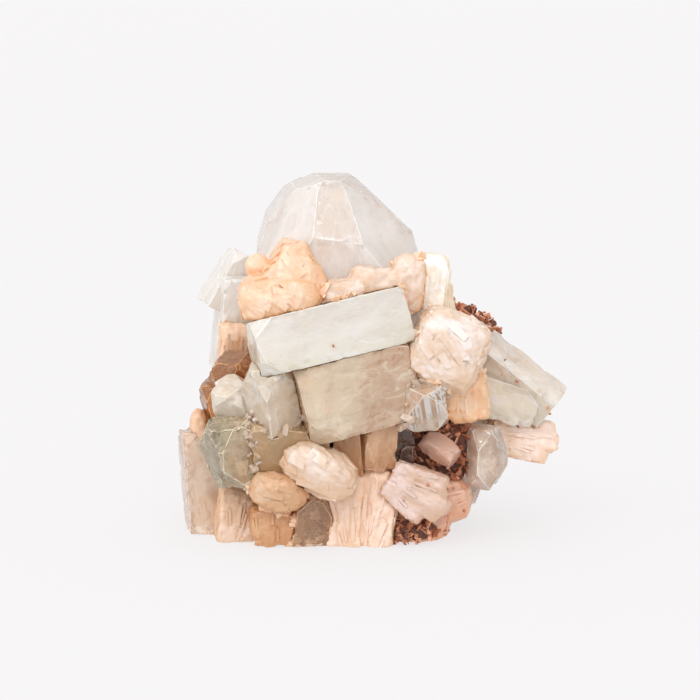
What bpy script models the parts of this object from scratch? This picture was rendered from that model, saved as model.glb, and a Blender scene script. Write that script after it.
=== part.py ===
"""Apophyllite and stilbite crystal cluster on basalt.

Units are metres and +Z is up. The front of the cluster faces -Y and its flat underside is at Z = 0.
"""
import math
import random

import bmesh
import bpy
from mathutils import Euler, Matrix, Vector, noise

# Driving dimensions
MM = 0.001
GAP = 0.3
FLOOR = 0.0
PYRAMID_ANGLE = math.radians(60.0)
SHARP_ANGLE = math.radians(35.0)
FLAT_ANGLE = math.radians(0.6)
# Blunt head of a stilbite blade: side, lean in degrees, share of the half width, drop as a share of the half width
HEAD_CUTS = (((0.0, 1.0), 38.0, 0.62, 0.0), ((0.0, 1.0), 68.0, 0.95, 0.45), ((1.0, 0.0), 48.0, 0.70, 0.0))
HEAD_PLAY = 6.0
# Sheaf blades: overlap with their neighbours, and the range of their lengths and depths
BLADE_OVERLAP = 1.45
BLADE_LENGTHS = (0.93, 1.05)
BLADE_DEPTHS = (0.88, 1.05)
# Crust blades: lowest turn toward the open side, seat below the bed, stand above it, and range of sizes
OPEN_SIDE = 0.15
BED_SEAT = 0.98
BLADE_STAND = 0.18
BLADE_SCALES = (0.75, 1.3)
# Distances in millimetres below which corners are one point and slivers are dropped
WELD = 0.004
SLIVER = 0.003
SEED = 4211

# Mineral colours
MILKY = (0.86, 0.78, 0.71)
CLEAR = (0.78, 0.68, 0.58)
GREEN = (0.72, 0.68, 0.52)
SMOKY = (0.45, 0.31, 0.22)
PEACH = (0.85, 0.60, 0.40)
CREAM = (0.88, 0.74, 0.60)
BRICK = (0.50, 0.17, 0.08)
DARK = (0.06, 0.035, 0.03)


def clear_scene():
    """Remove every object, mesh, material and collection that is there already."""
    for obj in list(bpy.data.objects):
        bpy.data.objects.remove(obj, do_unlink=True)
    for group in list(bpy.data.collections):
        bpy.data.collections.remove(group)
    for store in (bpy.data.meshes, bpy.data.materials):
        for item in list(store):
            store.remove(item)


def cut_plane(bm, point, normal):
    """Cut away the outer side of a plane and close the cut with one face."""
    geometry = bm.verts[:] + bm.edges[:] + bm.faces[:]
    bmesh.ops.bisect_plane(bm, geom=geometry, dist=1e-5, plane_co=point, plane_no=normal, clear_outer=True)
    rim = [edge for edge in bm.edges if len(edge.link_faces) == 1]
    if rim:
        bmesh.ops.holes_fill(bm, edges=rim, sides=0)


def frame_along(axis, roll):
    """Rotation with local Z along the axis and local X level, then turned about the axis."""
    along = Vector(axis).normalized()
    level = along.cross(Vector((0.0, 0.0, 1.0)))
    if level.length < 0.35:
        level = Vector((1.0, 0.0, 0.0)) - along * along.x
    level.normalize()
    upward = along.cross(level)
    basis = Matrix((level, upward, along)).transposed()
    return basis @ Matrix.Rotation(math.radians(roll), 3, "Z")


class Prism:
    """Square crystal with striated sides, corner pyramid faces and a flat cap at both ends."""

    def __init__(self, at, axis, size, roll=0.0, tip=0.5, tail=0.0, trims=(), turn=None):
        self.at = Vector(at)
        self.turn = turn or frame_along(axis, roll)
        self.half = Vector(size) / 2.0
        self.flare = 0.0
        self.planes = []
        slope = Vector((math.sin(PYRAMID_ANGLE) / math.sqrt(2.0),
                        math.sin(PYRAMID_ANGLE) / math.sqrt(2.0),
                        math.cos(PYRAMID_ANGLE)))
        for end, amount in ((1.0, tip), (-1.0, tail)):
            if amount <= 0.0:
                continue
            for sx, sy in ((1, 1), (1, -1), (-1, 1), (-1, -1)):
                normal = Vector((slope.x * sx, slope.y * sy, slope.z * end))
                corner = Vector((self.half.x * sx, self.half.y * sy, self.half.z * end))
                share = amount * random.uniform(0.75, 1.2)
                reach = normal.dot(corner) - share * slope.x * (self.half.x + self.half.y)
                self.planes.append((normal, reach))
        for normal, reach in trims:
            self.planes.append((self.turn.inverted() @ Vector(normal).normalized(), reach))

    def mesh(self, grow):
        """Closed mesh in millimetres, with every face moved out by grow."""
        bm = bmesh.new()
        bmesh.ops.create_cube(bm, size=2.0)
        for vert in bm.verts:
            vert.co = Vector([c * (h + grow) for c, h in zip(vert.co, self.half)])
        for normal, reach in self.planes:
            cut_plane(bm, normal * (reach + grow), normal)
        for vert in bm.verts:
            vert.co.x *= 1.0 + self.flare * vert.co.z / self.half.z
        place = Matrix.Translation(self.at) @ self.turn.to_4x4()
        bm.transform(place)
        return bm


class Blade(Prism):
    """Flat stilbite blade with a blunt head, wide along its local Y."""

    def __init__(self, at, axis, size, roll=0.0, turn=None, flare=0.0):
        super().__init__(at, axis, size, roll, tip=0.0, turn=turn)
        self.flare = flare
        for (ax, ay), angle, share, drop in HEAD_CUTS:
            for side in (1.0, -1.0):
                lean = math.radians(angle + random.uniform(-HEAD_PLAY, HEAD_PLAY))
                normal = Vector((ax * side * math.sin(lean), ay * side * math.sin(lean), math.cos(lean)))
                edge = Vector((ax * side * self.half.x * share, ay * side * self.half.y * share,
                               self.half.z - drop * self.half.y))
                self.planes.append((normal, normal.dot(edge)))


def sheaf(foot, axis, facing, widths, depth, length, count, dome=0.12):
    """Blades that spread from a foot to a wider head, side by side across the facing direction."""
    facing = Vector(facing).normalized()
    middle = Vector(axis)
    middle = (middle - facing * middle.dot(facing)).normalized()
    across = facing.cross(middle)
    foot_width, head_width = widths
    blades = []
    for index in range(count):
        share = (index + 0.5) / count * 2.0 - 1.0
        reach = length * (1.0 - dome * share * share) * random.uniform(*BLADE_LENGTHS)
        start = Vector(foot) + across * share * foot_width / 2.0
        end = Vector(foot) + middle * reach + across * share * head_width / 2.0
        start += facing * random.uniform(-0.04, 0.04) * depth
        along = (end - start).normalized()
        side = facing.cross(along).normalized()
        turn = Matrix((side, along.cross(side), along)).transposed()
        turn = turn @ Matrix.Rotation(random.uniform(-0.10, 0.10), 3, "Z")
        thick = (foot_width + head_width) / 2.0 / count * BLADE_OVERLAP
        size = (thick, depth * random.uniform(*BLADE_DEPTHS), (end - start).length)
        flare = (head_width - foot_width) / (head_width + foot_width)
        blades.append(Blade((start + end) / 2.0, along, size, turn=turn, flare=flare))
    return blades


class Block:
    """Convex crystal given by the directions and distances of its faces."""

    def __init__(self, at, faces, room=40.0):
        self.at = Vector(at)
        self.faces = [(Vector(normal).normalized(), reach) for normal, reach in faces]
        self.room = room

    def mesh(self, grow):
        """Closed mesh in millimetres, with every face moved out by grow."""
        bm = bmesh.new()
        bmesh.ops.create_cube(bm, size=2.0 * self.room)
        for normal, reach in self.faces:
            cut_plane(bm, normal * (reach + grow), normal)
        bm.transform(Matrix.Translation(self.at))
        return bm


class Pebble:
    """Rounded stilbite form between an ellipsoid and a box."""

    def __init__(self, at, size, turn=(0.0, 0.0, 0.0), square=2.6, lump=0.03, cuts=3):
        self.at = Vector(at)
        self.half = Vector(size) / 2.0
        self.turn = Euler([math.radians(angle) for angle in turn])
        self.square = square
        self.lump = lump
        self.cuts = cuts
        self.shift = Vector([random.uniform(0.0, 50.0) for _ in range(3)])

    def mesh(self, grow):
        """Closed mesh in millimetres, with the surface moved out by about grow."""
        bm = bmesh.new()
        bmesh.ops.create_cube(bm, size=2.0)
        bmesh.ops.subdivide_edges(bm, edges=bm.edges[:], cuts=self.cuts, use_grid_fill=True)
        for vert in bm.verts:
            bent = Vector([math.tan(c * math.pi / 4.0) for c in vert.co])
            length = sum(abs(c) ** self.square for c in bent) ** (1.0 / self.square)
            unit = bent / length
            swell = 1.0 + self.lump * noise.noise(unit * 1.7 + self.shift)
            reach = self.half + Vector((grow, grow, grow))
            vert.co = Vector((unit.x * reach.x * swell,
                              unit.y * reach.y * swell,
                              unit.z * reach.z * swell))
        bm.transform(Matrix.Translation(self.at) @ self.turn.to_matrix().to_4x4())
        return bm


class Rock:
    """Lumpy piece of basalt."""

    def __init__(self, at, size, lump=0.16):
        self.at = Vector(at)
        self.half = Vector(size) / 2.0
        self.lump = lump

    def mesh(self, grow):
        """Closed mesh in millimetres, with the surface moved out by about grow."""
        bm = bmesh.new()
        bmesh.ops.create_icosphere(bm, subdivisions=2, radius=1.0)
        for vert in bm.verts:
            swell = 1.0 + self.lump * noise.noise(vert.co * 2.1 + Vector((3.0, 7.0, 1.0)))
            vert.co = Vector([c * (h + grow) * swell for c, h in zip(vert.co, self.half)])
        bm.transform(Matrix.Translation(self.at))
        return bm


class Crust:
    """Patch of small bladed crystals that stand on a common bed."""

    def __init__(self, at, size, outward, count, blade=(2.6, 1.5, 0.55), turn=(0.0, 0.0, 0.0)):
        self.bed = Pebble(at, size, turn=turn, square=2.4, lump=0.12, cuts=2)
        self.at = Vector(at)
        self.blades = []
        facing = Vector(outward).normalized()
        half = Vector(size) / 2.0
        spin = self.bed.turn.to_matrix()
        placed = 0
        while placed < count:
            ray = Vector([random.gauss(0.0, 1.0) for _ in range(3)]).normalized()
            world = spin @ ray
            if world.dot(facing) < OPEN_SIDE:
                continue
            foot = spin @ Vector([c * h for c, h in zip(ray, half)]) * BED_SEAT
            lean = (world + Vector([random.uniform(-0.75, 0.75) for _ in range(3)])).normalized()
            scale = random.uniform(*BLADE_SCALES)
            length, width, thick = [value * scale for value in blade]
            at_blade = self.at + foot + lean * length * BLADE_STAND
            self.blades.append(Prism(at_blade, lean, (width, thick, length * 1.5),
                                     roll=random.uniform(0.0, 180.0), tip=0.0,
                                     trims=((self.tilt(lean, random.choice((1, -1))), length * 0.6),)))
            placed += 1

    @staticmethod
    def tilt(lean, side):
        """Direction of a blade's slanting end face."""
        across = lean.orthogonal().normalized()
        return lean * 0.85 + across * 0.5 * side


def join_meshes(name, forms, grow=0.0):
    """Join the forms of one node into one closed object in the work collection."""
    pieces = []
    for form in forms:
        if isinstance(form, Crust):
            pieces.append(form.bed.mesh(grow))
            if grow == 0.0:
                pieces.extend(blade.mesh(grow) for blade in form.blades)
        else:
            pieces.append(form.mesh(grow))
    objects = []
    for index, bm in enumerate(pieces):
        if grow == 0.0 and min(vert.co.z for vert in bm.verts) < FLOOR:
            cut_plane(bm, Vector((0.0, 0.0, FLOOR)), Vector((0.0, 0.0, -1.0)))
        bmesh.ops.triangulate(bm, faces=bm.faces[:], quad_method="FIXED")
        bmesh.ops.recalc_face_normals(bm, faces=bm.faces[:])
        mesh = bpy.data.meshes.new(f"{name}_{index}")
        bm.to_mesh(mesh)
        bm.free()
        objects.append(bpy.data.objects.new(f"{name}_{index}", mesh))
    return objects


def bounds_of(obj):
    """Lowest and highest corner of an object's mesh."""
    corners = [vert.co for vert in obj.data.vertices]
    low = Vector([min(c[i] for c in corners) for i in range(3)])
    high = Vector([max(c[i] for c in corners) for i in range(3)])
    return low, high


def boxes_meet(first, second):
    """True where two bounding boxes overlap."""
    return all(first[0][i] < second[1][i] and second[0][i] < first[1][i] for i in range(3))


def boolean_with(obj, others, operation, work):
    """Apply exact Booleans with each of the other objects to an object's mesh."""
    if not others:
        return
    for other in others:
        if other.name not in work.objects:
            work.objects.link(other)
        other.hide_render = True
        other.display_type = "WIRE"
        modifier = obj.modifiers.new("combine", "BOOLEAN")
        modifier.operation = operation
        modifier.solver = "EXACT"
        modifier.object = other
    graph = bpy.context.evaluated_depsgraph_get()
    result = bpy.data.meshes.new_from_object(obj.evaluated_get(graph))
    obj.modifiers.clear()
    old = obj.data
    obj.data = result
    bpy.data.meshes.remove(old)


def keep_largest(mesh):
    """Keep the largest connected body of a mesh and drop slivers."""
    bm = bmesh.new()
    bm.from_mesh(mesh)
    bmesh.ops.remove_doubles(bm, verts=bm.verts[:], dist=WELD)
    bmesh.ops.dissolve_degenerate(bm, edges=bm.edges[:], dist=SLIVER)
    left = set(bm.faces)
    bodies = []
    while left:
        seed = left.pop()
        body = [seed]
        stack = [seed]
        while stack:
            for edge in stack.pop().edges:
                for face in edge.link_faces:
                    if face in left:
                        left.discard(face)
                        body.append(face)
                        stack.append(face)
        bodies.append(body)
    bodies.sort(key=lambda body: sum(face.calc_area() for face in body), reverse=True)
    for body in bodies[1:]:
        bmesh.ops.delete(bm, geom=body, context="FACES")
    bmesh.ops.dissolve_limit(bm, angle_limit=FLAT_ANGLE, verts=bm.verts[:], edges=bm.edges[:])
    loose = [vert for vert in bm.verts if not vert.link_faces]
    bmesh.ops.delete(bm, geom=loose, context="VERTS")
    bmesh.ops.triangulate(bm, faces=bm.faces[:], quad_method="FIXED")
    bmesh.ops.recalc_face_normals(bm, faces=bm.faces[:])
    bm.to_mesh(mesh)
    bm.free()


def make_material(name, colour, roughness):
    """Plain Principled material with the mineral's colour."""
    material = bpy.data.materials.new(name)
    material.use_nodes = True
    shader = material.node_tree.nodes["Principled BSDF"]
    shader.inputs["Base Color"].default_value = (*colour, 1.0)
    shader.inputs["Roughness"].default_value = roughness
    shader.inputs["Metallic"].default_value = 0.0
    material.diffuse_color = (*colour, 1.0)
    return material


def cluster_nodes():
    """Every node in order: name, colour, roughness, rounded or not, and its forms in millimetres."""
    return [
        ("crown_point", MILKY, 0.2, False, [
            Block((-8.6, 3.0, 65.2), [
                ((-0.93, -0.10, 0.28), 18.9), ((-0.62, -0.68, 0.38), 17.4), ((-0.76, -0.15, 0.61), 19.0),
                ((-0.36, -0.12, 0.92), 20.0), ((0.03, -0.05, 1.0), 19.6), ((0.54, -0.12, 0.83), 17.6),
                ((0.68, 0.05, 0.72), 16.8), ((0.95, 0.0, 0.28), 18.9), ((0.06, -0.90, 0.42), 17.6),
                ((0.60, -0.62, 0.48), 16.6), ((0.05, 0.93, 0.30), 17.0), ((-0.6, 0.75, 0.25), 17.5),
                ((0.62, 0.70, 0.30), 17.0), ((-0.1, 0.6, 0.78), 18.4), ((0.0, 0.0, -1.0), 25.0),
                ((0.0, -1.0, 0.0), 16.8), ((-1.0, 0.0, 0.0), 19.2), ((1.0, 0.0, 0.0), 19.6),
                ((0.0, 1.0, 0.0), 17.0), ((-0.7, 0.7, 0.0), 20.5), ((0.7, 0.7, 0.0), 20.0)])]),
        ("back_left_points", MILKY, 0.2, False, [
            Prism((-32.4, 14.0, 56.6), (0.50, 0.10, 0.86), (12.0, 13.0, 15.0), roll=6.0, tip=0.2),
            Prism((-33.6, 5.0, 54.8), (0.05, -0.1, 1.0), (6.0, 7.0, 10.5), roll=12.0, tip=0.25),
            Prism((-33.4, 11.0, 45.5), (0.10, 0.0, 1.0), (10.0, 12.0, 18.0), roll=10.0, tip=0.2)]),
        ("cross_prism", MILKY, 0.2, False, [
            Prism((-10.4, -21.0, 50.2), (0.93, 0.22, 0.20), (13.0, 13.0, 36.5), roll=-10.0, tip=0.12, tail=0.35)]),
        ("pale_green_block", GREEN, 0.3, False, [
            Prism((-4.6, -18.5, 36.4), (0.94, 0.18, 0.24), (18.0, 19.5, 27.0), roll=-6.0, tip=0.1, tail=0.3)]),
        ("right_prism", CLEAR, 0.15, False, [
            Prism((32.4, -4.4, 38.1), (0.78, -0.12, -0.61), (8.6, 8.6, 26.5), roll=30.0, tip=0.0),
            Prism((31.0, -4.5, 32.6), (0.93, -0.05, -0.3), (10.0, 9.5, 17.0), roll=8.0, tip=0.3)]),
        ("right_smoky_point", SMOKY, 0.15, False, [
            Prism((26.4, -12.0, 19.4), (0.02, -0.12, 1.0), (7.8, 8.4, 14.5), roll=24.0, tip=0.5, tail=0.5)]),
        ("left_smoky_points", SMOKY, 0.15, False, [
            Prism((-33.2, -11.0, 38.0), (-0.1, -0.35, 0.9), (10.5, 9.5, 11.0), roll=38.0, tip=0.6),
            Prism((-37.2, -7.0, 31.5), (-0.25, -0.2, 0.95), (6.0, 7.0, 11.0), roll=20.0, tip=0.5)]),
        ("left_white_pyramid", MILKY, 0.2, False, [
            Prism((-23.8, -22.5, 36.0), (-0.12, -0.28, 0.95), (11.0, 11.0, 16.0), roll=40.0, tip=0.62),
            Prism((-32.3, -18.0, 33.0), (-0.35, -0.45, 0.8), (8.0, 8.5, 11.0), roll=15.0, tip=0.4)]),
        ("icy_left_crystal", CLEAR, 0.1, False, [
            Prism((-32.6, -21.5, 22.6), (-0.2, -0.25, 0.95), (12.0, 12.5, 15.5), roll=28.0, tip=0.4, tail=0.4)]),
        ("green_prism", GREEN, 0.2, False, [
            Prism((-21.2, -20.0, 23.2), (0.97, 0.12, -0.12), (12.0, 12.5, 20.0), roll=12.0, tip=0.3, tail=0.2)]),
        ("far_left_crystal", CLEAR, 0.15, False, [
            Prism((-39.6, -3.0, 11.5), (-0.08, 0.04, 1.0), (11.5, 13.0, 26.0), roll=10.0, tip=0.3, tail=0.25)]),
        ("mirror_face_crystal", SMOKY, 0.1, False, [
            Prism((11.6, -23.0, 34.2), (-0.10, -0.45, 0.88), (10.4, 9.5, 10.4), roll=12.0, tip=0.5, tail=0.3)]),
        ("striated_columns", CREAM, 0.3, False, [
            Prism((0.6, -19.0, 25.2), (0.06, -0.08, 1.0), (7.5, 9.5, 14.0), roll=16.0, tip=0.15),
            Prism((-5.4, -18.5, 23.6), (-0.1, -0.08, 1.0), (6.5, 8.5, 14.0), roll=-12.0, tip=0.2)]),
        ("small_smoky_crystal", SMOKY, 0.1, False, [
            Prism((5.9, -16.5, 25.0), (-0.15, -0.3, 0.93), (5.0, 6.5, 8.5), roll=20.0, tip=0.35),
            Prism((7.0, -16.0, 19.0), (0.2, -0.15, 0.95), (3.2, 6.0, 9.5), roll=8.0, tip=0.2)]),
        ("pocket_crystal", MILKY, 0.15, False, [
            Prism((15.4, -17.4, 22.2), (0.72, -0.3, -0.45), (4.8, 4.4, 9.0), roll=30.0, tip=0.2, tail=0.4)]),
        ("base_clear_crystal", CLEAR, 0.15, False, [
            Prism((-15.2, -19.8, 5.4), (0.18, -0.1, 1.0), (8.5, 9.0, 13.0), roll=14.0, tip=0.35)]),
        ("back_upper_prism", MILKY, 0.2, False, [
            Prism((-6.0, 20.0, 47.0), (0.28, 0.62, 0.73), (17.0, 16.0, 30.0), roll=12.0, tip=0.5)]),
        ("back_right_prism", MILKY, 0.2, False, [
            Prism((14.0, 17.0, 33.0), (0.62, 0.62, 0.30), (13.0, 13.0, 26.0), roll=20.0, tip=0.35)]),
        ("back_left_prism", MILKY, 0.2, False, [
            Prism((-27.0, 14.0, 32.0), (-0.5, 0.70, 0.35), (12.0, 12.0, 24.0), roll=-16.0, tip=0.45)]),
        ("right_side_points", CLEAR, 0.2, False, [
            Prism((18.0, 5.0, 22.5), (0.85, 0.35, 0.2), (12.0, 12.0, 20.0), roll=16.0, tip=0.4),
            Prism((17.0, 6.0, 10.0), (0.8, 0.45, -0.1), (10.0, 11.0, 16.0), roll=-20.0, tip=0.35)]),
        ("back_base_prism", CLEAR, 0.2, False, [
            Prism((-7.0, 22.0, 8.0), (-0.15, 1.0, 0.12), (13.0, 12.0, 22.0), roll=18.0, tip=0.4)]),
        ("upper_left_stilbite", PEACH, 0.35, True, [
            Pebble((-22.0, -18.5, 57.6), (18.5, 14.0, 11.0), (0.0, 4.0, 6.0), square=5.0, cuts=2),
            Block((-18.6, -14.5, 62.6), [
                ((0.05, -0.1, 1.0), 7.6), ((-0.8, -0.1, 0.6), 6.3), ((0.85, -0.1, 0.52), 6.2),
                ((0.1, -1.0, 0.3), 6.4), ((-0.6, -0.7, 0.25), 7.4), ((0.65, -0.7, 0.2), 7.2),
                ((0.0, 1.0, 0.0), 6.0), ((0.0, 0.0, -1.0), 5.0), ((-1.0, 0.0, 0.0), 8.4),
                ((1.0, 0.0, 0.0), 7.6)]),
            Pebble((-27.4, -12.0, 64.6), (5.6, 6.5, 6.5), square=2.3, cuts=1)]),
        ("crown_base_stilbite", PEACH, 0.35, True, [
            Pebble((-8.5, -14.6, 57.6), (16.0, 11.0, 9.0), (0.0, -6.0, 0.0), square=4.4, cuts=2),
            Pebble((0.6, -13.4, 59.6), (15.0, 10.0, 10.0), (0.0, 8.0, 6.0), square=4.4, cuts=2),
            Pebble((8.0, -12.0, 60.2), (8.2, 9.5, 14.5), (0.0, 4.0, 0.0), square=4.0, cuts=2)]),
        ("stilbite_ball", PEACH, 0.35, True, [
            Pebble((17.2, -19.0, 46.0), (17.4, 17.6, 17.8), (0.0, 24.0, 0.0), square=3.5, lump=0.08, cuts=3)]),
        ("left_stilbite_bud", PEACH, 0.4, True, [
            Pebble((-41.2, -6.5, 25.2), (4.8, 7.0, 9.0), (0.0, -6.0, 0.0), square=2.5, cuts=2)]),
        ("large_stilbite_egg", PEACH, 0.3, True, [
            Pebble((-12.4, -26.0, 18.8), (18.0, 12.0, 10.5), (0.0, 27.0, -8.0), square=3.0)]),
        ("small_stilbite_egg", PEACH, 0.3, True, [
            Pebble((-22.2, -25.5, 13.6), (13.4, 11.0, 8.6), (0.0, 12.0, 4.0), square=3.0)]),
        ("base_peach_stilbite", PEACH, 0.4, True, [
            Pebble((-23.6, -20.5, 4.8), (10.5, 10.5, 10.0), (0.0, -6.0, 0.0), square=4.5, cuts=2)]),
        ("front_right_stilbite_fan", CREAM, 0.4, False,
            sheaf((4.0, -20.8, 16.0), (0.84, -0.1, -0.48), (-0.05, -1.0, 0.2), (8.0, 12.0), 8.0, 14.6, 5, dome=0.3)),
        ("lower_right_stilbite", CREAM, 0.4, True, [
            Pebble((14.0, -10.5, 8.4), (19.0, 15.0, 11.0), (0.0, -14.0, 0.0), square=3.4, cuts=2),
            Pebble((10.4, -12.0, 4.4), (15.0, 15.0, 12.0), (0.0, -10.0, 0.0), square=3.4, cuts=2)]),
        ("upper_right_stilbite_blades", PEACH, 0.35, False, [
            Blade((12.4, -10.5, 57.4), (0.14, -0.05, 1.0), (7.5, 8.8, 19.5), roll=84.0),
            Blade((15.2, -8.0, 54.4), (-0.2, -0.1, 1.0), (8.0, 5.6, 13.0), roll=66.0)]),
        ("striped_stilbite", PEACH, 0.4, False,
            sheaf((20.4, -14.5, 40.0), (0.08, 0.0, -1.0), (0.1, -1.0, -0.1), (9.0, 9.6), 11.0, 11.8, 4)),
        ("right_stilbite_tab", CREAM, 0.4, False,
            sheaf((28.0, -2.0, 23.0), (1.0, 0.0, -0.14), (0.1, -1.0, 0.2), (7.0, 8.6), 9.0, 15.6, 3)),
        ("left_stilbite_column", PEACH, 0.4, False, [
            Blade((-33.4, 0.0, 43.0), (0.05, -0.1, 1.0), (6.0, 8.0, 13.0), roll=8.0)]),
        ("base_white_stilbite", CREAM, 0.4, False,
            sheaf((-33.4, -14.5, -1.5), (0.22, -0.12, 1.0), (0.25, -1.0, 0.1), (7.0, 8.5), 9.0, 14.0, 3)),
        ("front_stilbite_fan", CREAM, 0.4, False,
            sheaf((-3.4, -17.5, -3.0), (0.02, -0.1, 1.0), (-0.05, -1.0, 0.10), (13.0, 18.5), 14.0, 22.5, 4)),
        ("left_side_stilbite", PEACH, 0.4, False,
            sheaf((-24.0, 7.0, 24.0), (-1.0, 0.15, 0.15), (0.1, -0.3, 1.0), (11.0, 15.0), 13.0, 14.6, 4)),
        ("back_upper_stilbite", PEACH, 0.4, False,
            sheaf((6.0, 11.0, 43.0), (0.55, 0.5, 0.7), (0.5, -0.8, 0.2), (10.0, 14.5), 13.0, 19.0, 4)),
        ("back_left_stilbite", PEACH, 0.4, False,
            sheaf((-18.0, 14.0, 39.0), (-0.3, 0.6, 0.7), (0.8, 0.5, -0.1), (10.0, 13.0), 12.0, 18.0, 4)),
        ("back_lower_stilbite", CREAM, 0.4, False,
            sheaf((-20.0, 10.0, 12.0), (-0.3, 1.0, 0.20), (0.3, 0.0, 1.0), (15.0, 21.0), 17.0, 20.0, 4)),
        ("back_middle_stilbite", PEACH, 0.4, False,
            sheaf((-5.0, 14.0, 23.0), (0.10, 1.0, 0.3), (0.4, -0.2, 1.0), (15.0, 20.0), 15.0, 18.0, 4)),
        ("back_right_stilbite", CREAM, 0.4, False,
            sheaf((7.0, 12.0, 10.0), (0.5, 0.9, 0.1), (-0.2, 0.1, 1.0), (13.0, 17.0), 19.0, 18.0, 4)),
        ("basalt_matrix", DARK, 0.8, False, [
            Rock((-5.0, 1.0, 11.0), (46.0, 40.0, 36.0))]),
        ("ridge_crust", BRICK, 0.5, False, [
            Crust((21.6, -1.0, 46.8), (19.0, 13.0, 10.0), (0.2, -0.6, 1.0), 26, turn=(0.0, 30.0, 0.0))]),
        ("pocket_crust", BRICK, 0.5, False, [
            Crust((14.4, -10.0, 20.6), (18.0, 9.0, 20.0), (0.0, -1.0, 0.1), 30)]),
        ("base_crust", BRICK, 0.5, False, [
            Crust((6.4, -18.2, 3.0), (17.0, 8.0, 6.0), (0.1, -1.0, 0.3), 12, blade=(2.0, 1.3, 0.6))]),
    ]


def settle(nodes, cluster):
    """Bring the middle of the cluster's footprint to the origin and give each node its own place."""
    boxes = [bounds_of(node) for node in nodes]
    shift = Vector((0.0, 0.0, 0.0))
    for axis in (0, 1):
        lowest = min(low[axis] for low, _ in boxes)
        highest = max(high[axis] for _, high in boxes)
        shift[axis] = -(lowest + highest) / 2.0
    middle = bpy.data.objects.new("cluster_middle", None)
    cluster.objects.link(middle)
    for node, (low, high) in zip(nodes, boxes):
        centre = (low + high) / 2.0
        node.data.transform(Matrix.Translation(-centre))
        node.location = centre + shift
        node.parent = middle


def build_cluster():
    """Make every node: join its forms, cut it clear of the nodes before it, and give it its material."""
    clear_scene()
    random.seed(SEED)
    scene = bpy.context.scene
    cluster = bpy.data.collections.new("apophyllite_cluster")
    scene.collection.children.link(cluster)
    work = bpy.data.collections.new("cutters")
    scene.collection.children.link(work)
    cutters = []
    nodes = []
    for name, colour, roughness, rounded, forms in cluster_nodes():
        pieces = join_meshes(name, forms)
        node = pieces[0]
        node.name = name
        cluster.objects.link(node)
        boolean_with(node, pieces[1:], "UNION", work)
        box = bounds_of(node)
        near = [cutter for cutter, cutter_box in cutters if boxes_meet(box, cutter_box)]
        boolean_with(node, near, "DIFFERENCE", work)
        keep_largest(node.data)
        for cutter in join_meshes(f"{name}_cutter", forms, grow=GAP):
            cutters.append((cutter, bounds_of(cutter)))
        for piece in pieces[1:]:
            bpy.data.objects.remove(piece, do_unlink=True)
        node.data.transform(Matrix.Scale(MM, 4))
        node.data.name = name
        node.data.materials.clear()
        node.data.materials.append(make_material(f"{name}_mineral", colour, roughness))
        if rounded:
            node.data.shade_smooth()
            node.data.set_sharp_from_angle(angle=SHARP_ANGLE)
        nodes.append(node)
    for cutter, _ in cutters:
        bpy.data.objects.remove(cutter, do_unlink=True)
    bpy.data.collections.remove(work)
    settle(nodes, cluster)


if __name__ == "__main__":
    build_cluster()
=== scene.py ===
"""Finish of the apophyllite cluster: crystal faces, pearly sheaves, red crusts, rock, stage and light."""

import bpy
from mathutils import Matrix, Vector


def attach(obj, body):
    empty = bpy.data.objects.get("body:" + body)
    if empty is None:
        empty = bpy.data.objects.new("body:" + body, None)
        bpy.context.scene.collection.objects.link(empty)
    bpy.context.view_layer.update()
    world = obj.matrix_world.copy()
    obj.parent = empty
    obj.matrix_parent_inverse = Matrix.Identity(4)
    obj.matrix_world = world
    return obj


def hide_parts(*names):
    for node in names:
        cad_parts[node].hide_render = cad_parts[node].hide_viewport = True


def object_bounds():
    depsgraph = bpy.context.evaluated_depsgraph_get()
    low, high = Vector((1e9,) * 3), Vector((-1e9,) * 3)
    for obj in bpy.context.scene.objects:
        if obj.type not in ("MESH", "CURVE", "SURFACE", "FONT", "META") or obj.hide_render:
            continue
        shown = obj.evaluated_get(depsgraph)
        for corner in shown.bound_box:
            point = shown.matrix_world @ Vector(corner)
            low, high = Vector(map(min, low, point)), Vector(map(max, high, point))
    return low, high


bl_info = {
    "name": "Apophyllite cluster finish",
    "version": (1, 0, 0),
    "blender": (4, 5, 0),
    "location": "3D View > Sidebar > Cluster",
    "description": "Dresses the crystal cluster with its minerals and sets up the photo stage",
    "category": "Object",
}

import math
import random
from collections import namedtuple

import bmesh
import bpy
import numpy as np
from bpy.props import FloatProperty, FloatVectorProperty, IntProperty, PointerProperty
from mathutils import Matrix, Vector, noise
from mathutils.bvhtree import BVHTree

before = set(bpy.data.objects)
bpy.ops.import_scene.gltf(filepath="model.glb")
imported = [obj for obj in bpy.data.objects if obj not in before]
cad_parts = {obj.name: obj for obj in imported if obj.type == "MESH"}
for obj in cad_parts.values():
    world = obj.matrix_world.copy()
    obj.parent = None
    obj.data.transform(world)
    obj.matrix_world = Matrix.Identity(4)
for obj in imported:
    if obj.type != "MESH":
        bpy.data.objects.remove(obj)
CAD_LOW, CAD_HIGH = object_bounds()
MM = 0.001
# Way that the solids were moved, in metres, to centre the cluster
SHIFT = Vector((0.0002, -0.0014, 0.0))
WELD_DISTANCE = 2e-6
SPLIT_ROUNDS = 9
ROCK_GRID = 1.3 * MM
QUICK_GRID = 1.0
# Smoothing angles in degrees
FACET_ANGLE, SMALL_FACET_ANGLE, BLADE_ANGLE, ROUND_ANGLE = 14.0, 20.0, 30.0, 40.0
# Width of the rib pattern for each radian around the foot of a sheaf
RIB_SPREAD = 16.0
PLATE_THICKNESS = 0.8 * MM
VEIL_SIDES = 22
APOPHYLLITE_IOR = 1.535
STILBITE_IOR = 1.5
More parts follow.
